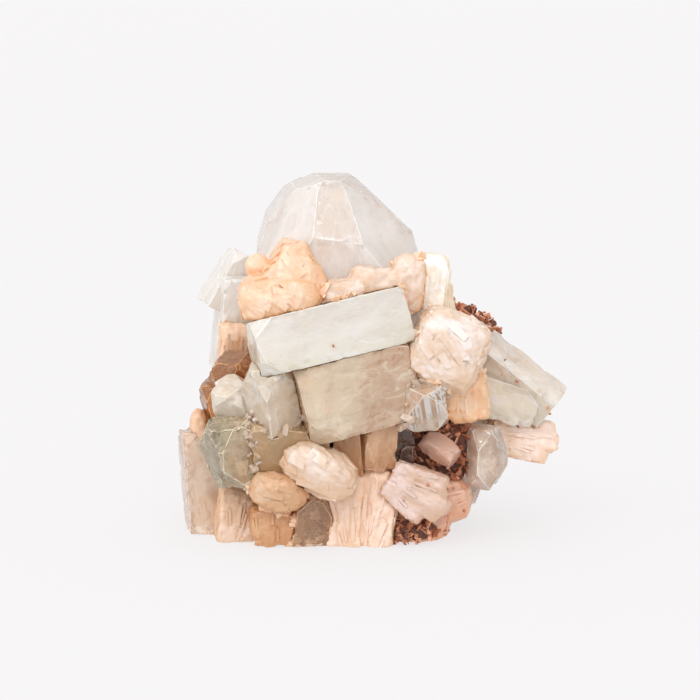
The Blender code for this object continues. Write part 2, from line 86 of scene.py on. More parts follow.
# Starts of the random draws
VEIL_SEED, JOINT_SEED, SPECK_SEED, CRUST_SEED = 77, 901, 55, 31
JOINT_GAP = 0.9 * MM
CAMERA_TARGET = Vector((-0.0053, -0.0014, 0.0431))
LIGHT_TARGET = Vector((0.0, 0.0, 0.04))
# Direction to the bright side of the studio
BRIGHT_WAY = Vector((-0.55, -0.4, 0.73))
LIGHT_BOUNCES = 28

# Colour that light takes on inside the crystals
DEPTH_COLOUR = (0.68, 0.4, 0.14)
# Direction, to the front and up, of the painted pearly sheen on the stilbite: faces turned this way keep the paler
# colour, faces turned away are painted warmer and darker
PAINTED_SHEEN_WAY = (-0.1, -0.85, 0.5)
# Tone of the darker splinters between the fractures in the crystals
FLAW_COLOUR = (0.5, 0.4, 0.31)
WHITE = (1.0, 1.0, 1.0)
# Each crystal: direction of its long axis, tint, clearness, depth of colour, relief, inner veils
MILKY_POINTS = {
    "crown_point": ((0.05, -0.1, 1), (1.06, 1.11, 1.15), 0.42, 5, 0.25, 16),
    "back_left_points": ((0.35, 0.05, 0.93), (1.15, 1.24, 1.32), 0.36, 3, 0.55, 5),
    "cross_prism": ((0.93, 0.22, 0.2), (1.17, 1.23, 1.24), 0.36, 3, 0.4, 8),
    "left_white_pyramid": ((-0.12, -0.28, 0.95), (1.17, 1.13, 1.04), 0.38, 6, 0.7, 4),
    "pocket_crystal": ((0.72, -0.3, -0.45), (0.96, 0.7, 0.6), 0.35, 14, 0.6, 0),
    "back_upper_prism": ((0.28, 0.62, 0.73), (1.06, 1.1, 1.12), 0.42, 5, 0.55, 3),
    "back_right_prism": ((0.62, 0.62, 0.3), (1.05, 1.07, 1.08), 0.42, 6, 0.6, 3),
    "back_left_prism": ((-0.5, 0.7, 0.35), (1.05, 1.07, 1.08), 0.42, 6, 0.6, 3),
}
CLEAR_POINTS = {
    "right_prism": ((0.78, -0.12, -0.61), (1.26, 1.31, 1.47), 0.4, 4, 0.4, 7),
    "icy_left_crystal": ((-0.2, -0.25, 0.95), (1.42, 1.2, 1.06), 0.66, 3, 0.9, 9),
    "far_left_crystal": ((-0.08, 0.04, 1), (1.05, 1, 0.97), 0.52, 9, 0.6, 7),
    "base_clear_crystal": ((0.18, -0.1, 1), (0.95, 0.76, 0.58), 0.66, 16, 0.5, 3),
    "right_side_points": ((0.85, 0.35, 0.2), (1.1, 1.16, 1.22), 0.5, 8, 0.6, 2),
    "back_base_prism": ((-0.15, 1, 0.12), (1.08, 1.12, 1.16), 0.5, 8, 0.6, 3),
}
GREEN_PRISMS = {
    "pale_green_block": ((0.94, 0.18, 0.24), (1.2, 1.16, 1.14), 0.38, 8, 0.5, 8),
    "green_prism": ((0.97, 0.12, -0.12), (1.06, 0.98, 0.8), 0.5, 12, 0.6, 5),
}
SMOKY_POINTS = {
    "right_smoky_point": ((0.02, -0.12, 1), (1.52, 1.7, 1.98), 0.55, 5, 0.4, 3),
    "left_smoky_points": ((-0.1, -0.35, 0.9), (1.14, 0.86, 0.5), 0.74, 26, 0.5, 3),
    "mirror_face_crystal": ((-0.15, -0.45, 0.88), (1.48, 1.46, 1.46), 0.5, 6, 0.25, 2),
    "small_smoky_crystal": ((-0.15, -0.3, 0.93), (0.7, 0.72, 0.8), 0.8, 50, 0.4, 0),
}
# Crystals whose tint changes on the way through: direction, start and end in millimetres, tint at the end
FADES = {
    "crown_point": ((0.25, -0.2, -1), -63, -50, (1.15, 1.21, 1.18)),
    "cross_prism": ((0.25, 0, -1), -49, -41, (0.89, 0.86, 0.68)),
    "right_prism": ((-0.5, 0, -1), -52, -42, (1.1, 1, 0.92)),
    "pale_green_block": ((1, 0, -0.15), -9, -1.5, (0.66, 0.44, 0.33)),
    "green_prism": ((0.6, 0, -1), -36, -28, (0.92, 0.84, 0.7)),
    "icy_left_crystal": ((-1, 0, 0.1), 36, 40, (0.72, 0.74, 0.69)),
    "far_left_crystal": ((0.4, 0, -1), -24, -6, (0.98, 0.88, 0.7)),
    "base_clear_crystal": ((0.3, 0, -1), -8, -1, (0.8, 0.72, 0.66)),
    "striated_columns": ((0, 0, -1), -22, -16, (0.78, 0.62, 0.5)),
}
# Look of each group: deep, light and warm tints of the clouds, least and most roughness, and strength
# and number in a metre of the fractures; the light tint also gives the painted light on faces
LOOKS = {
    "milky": (((0.84, 0.77, 0.71), (1.12, 1.2, 1.26), (0.96, 0.89, 0.8)), (0.02, 0.25), (0.12, 95)),
    "clear": (((0.88, 0.8, 0.73), (1.16, 1.26, 1.36), (0.97, 0.88, 0.78)), (0.02, 0.2), (0.28, 130)),
    "green": (((0.8, 0.82, 0.74), (1.16, 1.24, 1.32), (0.95, 0.9, 0.8)), (0.03, 0.24), (0.2, 110)),
    "smoky": (((0.82, 0.74, 0.68), (1.28, 1.44, 1.6), (0.94, 0.84, 0.76)), (0.02, 0.18), (0.34, 140)),
    "column": (((0.86, 0.82, 0.76), (1.14, 1.2, 1.28), (0.92, 0.84, 0.76)), (0.08, 0.3), (0.26, 150)),
    "joint": (((0.85, 0.78, 0.7), (1.08, 1.2, 1.35), (0.98, 0.9, 0.8)), (0.04, 0.2), (0.35, 300)),
}
CrystalLook = namedtuple("CrystalLook", "body cloud rough flaws")
# Crystals with stronger fractures than the rest of their group
FRACTURED = {
    "icy_left_crystal": (0.5, 230),
    "small_smoky_crystal": (0.5, 260),
    "base_clear_crystal": (0.42, 170),
}
# Crystals with a face that gets a painted striped reflection, near-white and dark stripes: the direction that the
# face turns toward
PAINTED_REFLECTION_FACES = {
    "mirror_face_crystal": (0.35, -0.9, 0.05),
}
STRIATED_COLUMNS = {
    "striated_columns": ((0, -0.08, 1), (1.14, 0.98, 0.76), 0.34, 12, 0.7, 0),
}
# Each stilbite sheaf: its foot in millimetres, the direction that its fibres leave in, and its tint
PEACH_SHEAVES = {
    "upper_left_stilbite": ((-12, -6, 50), (-0.5, -0.7, 0.6), (0.97, 0.92, 0.88)),
    "crown_base_stilbite": ((-4, 2, 50), (0.1, -0.8, 0.6), (0.9, 0.98, 1.12)),
    "upper_right_stilbite_blades": ((11, -8, 34), (0, -0.1, 1), (1.03, 1.33, 1.68)),
    "stilbite_ball": ((12, -10, 54), (0.3, -0.7, -0.6), (0.9, 1.03, 1.24)),
    "striped_stilbite": ((20.4, -14.5, 46), (0.08, 0, -1), (0.98, 0.9, 0.82)),
    "left_stilbite_bud": ((-40.5, -5, 14), (0, -0.2, 1), (0.9, 0.8, 0.72)),
    "left_stilbite_column": ((-33.4, 2, 30), (0, -0.1, 1), (0.97, 0.97, 0.98)),
    "large_stilbite_egg": ((-24, -18, 25), (0.8, -0.3, -0.4), (0.85, 0.92, 1.04)),
    "small_stilbite_egg": ((-33, -20, 17), (0.9, -0.3, -0.2), (0.75, 0.67, 0.58)),
    "base_peach_stilbite": ((-23, -14, -6), (0, -0.4, 1), (0.69, 0.5, 0.33)),
    "left_side_stilbite": ((-18, 7, 23), (-1, 0.15, 0.15), (0.92, 0.88, 0.84)),
    "back_upper_stilbite": ((2, 8, 38), (0.55, 0.5, 0.7), (0.97, 1, 1.06)),
    "back_left_stilbite": ((-16, 10, 34), (-0.3, 0.6, 0.7), (0.95, 0.94, 0.93)),
    "back_middle_stilbite": ((-5.5, 8, 21), (0.1, 1, 0.3), (0.93, 0.92, 0.92)),
}
# Sheaves that show broad pearly leaves in place of ribs
LEAFY_SHEAVES = ("upper_left_stilbite", "crown_base_stilbite", "stilbite_ball", "left_stilbite_bud",
                  "large_stilbite_egg", "small_stilbite_egg")
CREAM_SHEAVES = {
    "right_stilbite_tab": ((24, -2, 23.6), (1, 0, -0.14), (1.12, 1.2, 1.26)),
    "base_white_stilbite": ((-34.6, -13.8, -6), (0.22, -0.12, 1), (0.94, 0.94, 0.88)),
    "front_stilbite_fan": ((-3.4, -17, -12), (0.02, -0.1, 1), (1.06, 1.07, 1.04)),
    "front_right_stilbite_fan": ((-1, -19, 19), (0.84, -0.1, -0.48), (0.86, 0.87, 0.92)),
    "lower_right_stilbite": ((2, -8, 2), (0.8, -0.4, 0.4), (0.9, 0.71, 0.62)),
    "back_lower_stilbite": ((-19, 5, 11), (-0.3, 1, 0.2), (0.96, 0.95, 0.94)),
    "back_right_stilbite": ((5, 7, 10), (0.5, 0.9, 0.1), (0.97, 0.96, 0.96)),
}


# Settings

def length_setting(name, description, millimetres):
    """Setting for a length."""
    return FloatProperty(name=name, description=description, default=millimetres * MM, unit="LENGTH")


def share_setting(name, description, default):
    """Setting for a plain number."""
    return FloatProperty(name=name, description=description, default=default)


def count_setting(name, description, default):
    """Setting for a number of pieces."""
    return IntProperty(name=name, description=description, default=default)


def colour_setting(name, description, default):
    """Setting for a colour."""
    return FloatVectorProperty(name=name, description=description, subtype="COLOR", default=default)


class ClusterSizes(bpy.types.PropertyGroup):
    """Sizes of the surface relief and of the small blades."""

    # Edge width is the width of the bevel on crystal edges, which carries a painted highlight
    edge_width: length_setting("Edge width", "Width of the worn edge of a crystal", 0.085)
    facet_grid: length_setting("Facet grid", "Longest mesh edge on a crystal face", 0.75)
    step_depth: length_setting("Step depth", "Depth of the growth steps on crystal faces", 0.55)
    chip_depth: length_setting("Chip depth", "Depth of the chips along crystal edges", 1.1)
    chip_reach: length_setting("Chip reach", "Reach of the chips from a crystal edge", 2.2)
    face_cover: length_setting("Face cover", "Growth of the crystal faces into the joints", 0.145)
    gap_cover: length_setting("Gap cover", "Growth that closes the joints between crystals", 0.3)
    pearl_grid: length_setting("Pearl grid", "Mesh grid of the stilbite sheaves", 0.45)
    rib_depth: length_setting("Rib depth", "Depth of the ribs on the stilbite sheaves", 0.5)
    blade_length: length_setting("Blade length", "Length of a red crust blade", 3.4)
    plate_length: length_setting("Plate length", "Length of a leaf plate on a stilbite sheaf", 5.0)
    plate_share: share_setting("Plate share", "Leaf plates on each square millimetre of a sheaf", 0.2)
    pocket_blades: count_setting("Pocket blades", "Blades on the pocket crust", 170)
    ridge_blades: count_setting("Ridge blades", "Blades on the ridge crust", 120)
    base_blades: count_setting("Base blades", "Blades on the base crust", 80)
    clear_bits: count_setting("Clear bits", "Small clear crystals in the joints", 300)
    peach_bits: count_setting("Peach bits", "Small peach crystals in the joints", 420)


class ClusterColours(bpy.types.PropertyGroup):
    """Colours of the minerals."""

    milky: colour_setting("Milky", "Body colour of the milky apophyllite", (0.9, 0.8, 0.74))
    clear: colour_setting("Clear", "Body colour of the clear apophyllite", (0.88, 0.71, 0.58))
    green: colour_setting("Green", "Body colour of the pale green apophyllite", (0.8, 0.63, 0.48))
    smoky: colour_setting("Smoky", "Body colour of the brownish apophyllite", (0.74, 0.51, 0.38))
    peach: colour_setting("Peach", "Colour of the peach stilbite", (0.9, 0.66, 0.47))
    cream: colour_setting("Cream", "Colour of the cream stilbite", (0.83, 0.61, 0.48))
    brick: colour_setting("Brick", "Colour of the red crust blades", (0.6, 0.25, 0.14))
    basalt: colour_setting("Basalt", "Colour of the dark rock", (0.055, 0.028, 0.022))


class StageSettings(bpy.types.PropertyGroup):
    """Camera and light of the photo stage."""

    elevation: FloatProperty(name="Elevation", description="Camera angle above the horizon",
                             default=math.radians(8.0), subtype="ANGLE")
    distance: FloatProperty(name="Distance", description="Camera distance from the cluster",
                            default=0.7, unit="LENGTH")
    lens: share_setting("Lens", "Focal length in millimetres", 150.0)
    window_power: share_setting("Window power", "Strength of the soft window light", 0.45)
    panel_power: share_setting("Panel power", "Power of the front panel in watts", 1.5)
    dim_side: share_setting("Dim side", "Studio light from the far lower right", 0.72)
    bright_side: share_setting("Bright side", "Studio light from the upper left", 1.22)
    spark_power: share_setting("Spark power", "Power of the small lamp in watts", 1.0)
    floor_shade: colour_setting("Floor", "Colour of the floor", (0.16, 0.157, 0.158))
    floor_glow: colour_setting("Floor glow", "Light that shines up through the floor", (0.715, 0.706, 0.711))


def cluster_settings(context):
    """Sizes and colours of the cluster."""
    return context.scene.cluster_sizes, context.scene.cluster_colours


# Mesh helpers

def node_mesh(node):
    """Welded copy of a node's solid."""
    bm = bmesh.new()
    bm.from_mesh(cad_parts[node].data)
    bmesh.ops.remove_doubles(bm, verts=bm.verts[:], dist=WELD_DISTANCE)
    return bm


def new_object(name, data):
    """Object in the scene."""
    made = bpy.data.objects.new(name, data)
    bpy.context.scene.collection.objects.link(made)
    return made


def add_piece(name, bm, node, material, smooth_angle, edges=None):
    """Make the mesh a piece that stands for its node, with a second material that paints a highlight on its
    bevelled edges.
    """
    mesh = bpy.data.meshes.new(name)
    bm.to_mesh(mesh)
    bm.free()
    mesh.shade_smooth()
    if smooth_angle:
        mesh.set_sharp_from_angle(angle=math.radians(smooth_angle))
    mesh.materials.append(material)
    if edges:
        mesh.materials.append(edges)
    piece = new_object(name, mesh)
    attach(piece, "root")
    if node:
        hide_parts(node)
    return piece


def axes_of(direction):
    """Two directions square to a long axis, and the axis."""
    along = Vector(direction).normalized()
    first = along.cross(Vector((0.0, 0.0, 1.0)))
    if first.length < 0.35:
        first = Vector((1.0, 0.0, 0.0)) - along * along.x
    first.normalize()
    return first, along.cross(first), along


def split_long_edges(bm, limit):
    """Split edges until none is longer than the limit."""
    for _ in range(SPLIT_ROUNDS):
        long_edges = [edge for edge in bm.edges if edge.calc_length() > limit]
        if not long_edges:
            break
        bmesh.ops.subdivide_edges(bm, edges=long_edges, cuts=1)
        bmesh.ops.triangulate(bm, faces=[face for face in bm.faces if len(face.verts) > 3])


def inside_box(point):
    """Point moved back into the cluster's own box where it is outside."""
    return Vector([min(max(point[i], CAD_LOW[i]), CAD_HIGH[i]) for i in range(3)])


def keep_inside(bm):
    """Move the vertices that are outside back into the cluster's own box."""
    for vert in bm.verts:
        vert.co = inside_box(vert.co)


def push(bm, moves):
    """Move each vertex by its own amount along its normal, inside the box."""
    bm.normal_update()
    places = [inside_box(vert.co + vert.normal * move) for vert, move in zip(bm.verts, moves)]
    for vert, place in zip(bm.verts, places):
        vert.co = place


def chip_corners(bm, chance, share, deepest):
    """Break off some of the corners with small slanting facets."""
    corners = [vert.co.copy() for vert in bm.verts if chance.random() < share]
    for corner in corners:
        near = [vert for vert in bm.verts if (vert.co - corner).length < 1e-7]
        if not near or not near[0].link_faces:
            continue
        outward = sum((face.normal for face in near[0].link_faces), Vector())
        outward += Vector([chance.uniform(-0.7, 0.7) for _ in range(3)])
        outward.normalize()
        depth = deepest * chance.uniform(0.3, 1.0)
        cut = corner - outward * depth
        beyond = [vert for vert in bm.verts if (vert.co - cut).dot(outward) > 0.0]
        if len(beyond) > 3 or any((vert.co - corner).length > 4.0 * deepest for vert in beyond):
            continue
        parts = bm.verts[:] + bm.edges[:] + bm.faces[:]
        bmesh.ops.bisect_plane(bm, geom=parts, plane_co=cut, plane_no=outward, clear_outer=True)
        rim = [edge for edge in bm.edges if edge.is_boundary]
        bmesh.ops.holes_fill(bm, edges=rim, sides=0)
        bm.normal_update()


def edge_distances(bm, segments):
    """Distance from each vertex to the nearest of the segments."""
    spots = np.array([vert.co[:] for vert in bm.verts])
    nearest = np.full(len(spots), 1.0)
    for first, second in segments:
        run = np.array(second - first)
        share = np.clip((spots - np.array(first)) @ run / max(run @ run, 1e-12), 0.0, 1.0)
        gap = spots - np.array(first) - share[:, None] * run
        nearest = np.minimum(nearest, np.sqrt((gap * gap).sum(axis=1)))
    return nearest


def crystal_mesh(node, direction, sizes, rough):
    """Crystal with chipped edges, striated sides and ragged growth steps."""
    chance = random.Random(node)
    bm = node_mesh(node)
    bmesh.ops.dissolve_limit(bm, angle_limit=math.radians(2.0), verts=bm.verts[:], edges=bm.edges[:])
    chip_corners(bm, chance, 0.6, sizes.chip_depth * rough)
    sharp = [edge for edge in bm.edges
             if edge.is_manifold and edge.is_convex and edge.calc_face_angle() > math.radians(15.0)]
    segments = [(edge.verts[0].co.copy(), edge.verts[1].co.copy()) for edge in sharp]
    edges = [edge for edge in sharp if edge.calc_length() > 6.0 * sizes.edge_width]
    # The bevels take the second material, a painted highlight
    bmesh.ops.bevel(bm, geom=edges, offset=sizes.edge_width, offset_type="OFFSET", segments=1,
                    profile=0.5, affect="EDGES", clamp_overlap=False, material=1)
    bmesh.ops.triangulate(bm, faces=bm.faces[:])
    split_long_edges(bm, sizes.facet_grid * QUICK_GRID)
    first, second, along = axes_of(direction)
    gaps = edge_distances(bm, segments) / MM
    offset = Vector((chance.uniform(0.0, 90.0), chance.uniform(0.0, 90.0), 0.0))
    moves = []
    for vert, gap in zip(bm.verts, gaps):
        place = vert.co / MM
        u, v, w = place.dot(first), place.dot(second), place.dot(along)
        ridge = noise.noise(Vector((u * 0.8, v * 0.8, w * 0.05)) + offset)
        ragged = noise.noise(place * 0.13 + offset) + 0.45 * noise.noise(place * 0.42) \
            + 0.14 * noise.noise(place * 1.4)
        step = math.floor(ragged * 4.0) / 4.0
        chip = min(max(noise.noise(place * 0.45 - offset) * 2.4 - 0.25, 0.0), 1.0)
        chip *= max(1.0 - gap / sizes.chip_reach * MM, 0.0) ** 1.5
        moves.append(sizes.face_cover + sizes.step_depth * rough * (0.11 * ridge - 0.11 + min(step, 0.0))
                     - sizes.chip_depth * rough * chip)
    push(bm, moves)
    return bm


def sheaf_mesh(node, foot, direction, sizes):
    """Rounded sheaf with ribs that spread from its foot."""
    coarse = bpy.data.meshes.new("sheaf_form")
    form = node_mesh(node)
    form.to_mesh(coarse)
    form.free()
    holder = new_object("sheaf_form", coarse)
    grid = holder.modifiers.new("grid", "REMESH")
    grid.mode = "VOXEL"
    grid.voxel_size = sizes.pearl_grid * QUICK_GRID
    soften = holder.modifiers.new("soften", "SMOOTH")
    soften.factor = 0.6
    soften.iterations = 3
    graph = bpy.context.evaluated_depsgraph_get()
    bm = bmesh.new()
    bm.from_object(holder, graph)
    bpy.data.objects.remove(holder, do_unlink=True)
    bpy.data.meshes.remove(coarse)
    first, second, along = axes_of(direction)
    origin = Vector(foot) + SHIFT / MM
    moves = []
    for vert in bm.verts:
        place = vert.co / MM
        arm = place - origin
        length = max(arm.length, 1.0)
        u = math.atan2(arm.dot(first), max(arm.dot(along), 0.5)) * RIB_SPREAD
        v = math.atan2(arm.dot(second), max(arm.dot(along), 0.5)) * RIB_SPREAD
        leaf = noise.noise(Vector((u * 0.33, v * 0.33, length * 0.03)) + origin)
        broad = abs(noise.noise(Vector((u * 0.6 + 3.0, v * 0.6, length * 0.05))))
        fine = noise.noise(Vector((u * 1.7 + 7.0, v * 1.7, length * 0.12)))
        ragged = noise.noise(place * 0.28) + 0.5 * noise.noise(place * 0.8)
        moves.append(sizes.gap_cover + sizes.rib_depth * (
            0.9 * math.floor(leaf * 3.0) / 3.0 + 0.9 * broad + 0.25 * fine
            + 0.7 * math.floor(ragged * 3.0) / 3.0 - 0.2))
    push(bm, moves)
    return bm


def leaf_plates(node, foot, sizes):
    """Low leaves or ribs that lie on a sheaf and point away from its foot."""
    widths = (0.35, 0.6) if node in LEAFY_SHEAVES else (0.1, 0.2)
    chance = random.Random(f"{node}_plates")
    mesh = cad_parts[node].data
    tree = solid_tree(node)
    origin = (Vector(foot) + SHIFT / MM) * MM
    area = sum(poly.area for poly in mesh.polygons) / (MM * MM)
    bm = bmesh.new()
    for spot, normal in surface_spots(mesh, int(area * sizes.plate_share), chance):
        arm = spot - origin
        along = arm - normal * arm.dot(normal)
        size = sizes.plate_length * chance.uniform(0.6, 1.3)
        wide = size * chance.uniform(*widths)
        if along.length < 0.2 * arm.length:
            continue
        along.normalize()
        side = along.cross(normal)
        ends = [spot + along * size * a + side * wide * b
                for a, b in ((0.5, 0.3), (-0.5, 0.3), (0.5, -0.3), (-0.5, -0.3))]
        if any(tree.find_nearest(end)[3] > 0.35 * MM for end in ends):
            continue
        lift = sizes.gap_cover + chance.uniform(0.0, 0.2) * MM - PLATE_THICKNESS * 0.5
        lean = along + normal * chance.uniform(-0.02, 0.04)
        add_blade(bm, spot + normal * lift, lean, side, size, wide, PLATE_THICKNESS, chance)
    keep_inside(bm)
    return bm


def rock_mesh(node, sizes):
    """Rough broken rock."""
    bm = node_mesh(node)
    bmesh.ops.triangulate(bm, faces=bm.faces[:])
    split_long_edges(bm, ROCK_GRID)
    push(bm, [(0.35 * noise.fractal(vert.co / MM * 0.5, 1.0, 2.0, 3) + 0.05) * MM for vert in bm.verts])
    return bm


def add_blade(bm, at, along, side, length, width, thick, chance):
    """One small tablet with a slanting head."""
    along.normalize()
    side = (side - along * side.dot(along)).normalized()
    turn = Matrix((side, along.cross(side), along)).transposed().to_4x4()
    slant = chance.uniform(-0.35, 0.35)
    for vert in bmesh.ops.create_cube(bm, size=1.0)["verts"]:
        taper = 0.72 if vert.co.z > 0.0 else 1.0
        vert.co = Vector((vert.co.x * width * taper, vert.co.y * thick, vert.co.z * length))
        if vert.co.z > 0.0:
            vert.co.z += vert.co.x * slant * 1.6
        vert.co = at + (turn @ vert.co)


def surface_spots(mesh, count, chance, facing=None, reach=0.1):
    """Spots on a mesh with their normals, spread by area, all or only those that face one way."""
    faces = [(poly.area, poly) for poly in mesh.polygons
             if facing is None or poly.normal.dot(facing) > reach]
    total = sum(area for area, _ in faces)
    spots = []
    for _ in range(count):
        pick = chance.uniform(0.0, total)
        for area, poly in faces:
            pick -= area
            if pick <= 0.0:
                break
        corners = [mesh.vertices[i].co for i in poly.vertices]
        a, b = chance.random(), chance.random()
        if a + b > 1.0:
            a, b = 1.0 - a, 1.0 - b
        spot = corners[0] + (corners[1] - corners[0]) * a + (corners[2] - corners[0]) * b
        spots.append((spot, poly.normal.copy()))
    return spots


def unit_vector(chance):
    """Direction picked evenly enough."""
    return Vector([chance.gauss(0.0, 1.0) for _ in range(3)]).normalized()


def solid_tree(node):
    """Search tree of a node's solid."""
    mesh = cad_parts[node].data
    return BVHTree.FromPolygons([vert.co for vert in mesh.vertices],
                                [poly.vertices[:] for poly in mesh.polygons])


def inside(tree, point):
    """True where the point lies in the solid."""
    near, normal, _, _ = tree.find_nearest(point)
    return (point - near).dot(normal) < 0.0


def joint_spots(names, count, chance, gap):
    """Outer spots where one crystal meets another, with the way out."""
    trees = {name: solid_tree(name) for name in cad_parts}
    spots = []
    tries = count * 60
    while len(spots) < count and tries > 0:
        tries -= 1
        name = chance.choice(names)
        spot, normal = surface_spots(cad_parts[name].data, 1, chance)[0]
        ways = [normal]
        for other, tree in trees.items():
            if other == name:
                continue
            near, facing, _, distance = tree.find_nearest(spot, gap)
            if near is not None:
                ways.append(facing)
        if len(ways) < 2:
            continue
        out = sum(ways, Vector())
        if out.length < 0.3:
            continue
        out.normalize()
        start = spot + out * MM
        if any(tree.ray_cast(start, out, 0.03)[0] for tree in trees.values()):
            continue
        if any(inside(tree, start) for tree in trees.values()):
            continue
        spots.append((spot, out))
    return spots


def add_small_crystal(bm, at, out, size, chance):
    """One small blocky crystal with a broken head."""
    along = (out + unit_vector(chance) * 0.9).normalized()
    side, cross, along = axes_of(along)
    spin = Matrix.Rotation(chance.uniform(0.0, math.pi), 3, along)
    side, cross = spin @ side, spin @ cross
    wide = size * chance.uniform(0.55, 1.0)
    deep = size * chance.uniform(0.45, 0.9)
    tall = size * chance.uniform(0.9, 1.8)
    lean = [chance.uniform(-0.25, 0.25) for _ in range(2)]
    head = chance.uniform(0.45, 0.85)
    rings = ((-0.5, 1.0), (0.22, 0.97), (0.5, head))
    corners = []
    for height, scale in rings:
        ring = []
        for a, b in ((-1, -1), (1, -1), (1, 1), (-1, 1)):
            shift = lean if scale == head else (0.0, 0.0)
            spot = side * (wide * 0.5 * (a * scale + shift[0])) + cross * (deep * 0.5 * (b * scale + shift[1]))
            tilt = (a * lean[0] + b * lean[1]) * 0.25 if scale == head else 0.0
            ring.append(bm.verts.new(inside_box(at + spot + along * tall * (height + tilt))))
        corners.append(ring)
    bm.faces.new(corners[0][::-1])
    bm.faces.new(corners[-1])
    for lower, upper in zip(corners, corners[1:]):
        for i in range(4):
            j = (i + 1) % 4
            bm.faces.new((lower[i], lower[j], upper[j], upper[i]))


def add_veil(bm, tree, centre, direction, radius, chance):
    """Thin bent sheet, like a healed crack, that stays inside the crystal."""
    side, cross, out = axes_of(direction)
    bend = chance.uniform(-0.25, 0.25) / radius
    rim, offset = VEIL_SIDES, Vector((chance.uniform(0.0, 50.0), 0.0, 0.0))
    for _ in range(4):
        sheet = []
        for ring in (0.45, 1.0):
            for i in range(rim):
                angle = 2.0 * math.pi * i / rim
                wave = 1.0 + 0.75 * noise.noise(Vector((math.cos(angle), math.sin(angle), ring)) * 1.9 + offset)
                a, b = math.cos(angle) * radius * ring * wave, math.sin(angle) * radius * ring * wave * 0.7
                sheet.append(centre + side * a + cross * b + out * (bend * (a * a - b * b)))
        if all(inside(tree, spot) for spot in sheet):
            break
        radius *= 0.6
        bend /= 0.6
    else:
        return
    half = out * 0.02 * MM
    top = [bm.verts.new(spot + half * (1.0 if i < rim else 0.1)) for i, spot in enumerate(sheet)]
    low = [bm.verts.new(spot - half * (1.0 if i < rim else 0.1)) for i, spot in enumerate(sheet)]
    hub_top, hub_low = bm.verts.new(centre + half), bm.verts.new(centre - half)
    for i in range(rim):
        j = (i + 1) % rim
        bm.faces.new((hub_top, top[i], top[j]))
        bm.faces.new((hub_low, low[j], low[i]))
        bm.faces.new((top[i], top[rim + i], top[rim + j], top[j]))
        bm.faces.new((low[j], low[rim + j], low[rim + i], low[i]))
        bm.faces.new((top[rim + i], low[rim + i], low[rim + j], top[rim + j]))


def crust_blades(node, count, facing, length, seed):
    """Many small blades that stand out of a crust bed."""
    chance = random.Random(seed)
    bm = bmesh.new()
    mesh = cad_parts[node].data
    for spot, normal in surface_spots(mesh, count, chance, Vector(facing).normalized()):
        lean = normal + Vector([chance.uniform(-0.8, 0.8) for _ in range(3)])
        side = Vector([chance.uniform(-1.0, 1.0) for _ in range(3)])
        size = length * chance.uniform(0.45, 1.15)
        add_blade(bm, spot + normal * size * 0.12, lean, side, size, size * chance.uniform(0.35, 0.6),
                  size * chance.uniform(0.1, 0.2), chance)
    keep_inside(bm)
    return bm


# Material helpers

def add_node(tree, kind, values=None, **options):
    """New node with plain values on its sockets."""
    node = tree.nodes.new(kind)
    for name, option in options.items():
        setattr(node, name, option)
    for socket, value in (values or {}).items():
        node.inputs[socket].default_value = value
    return node


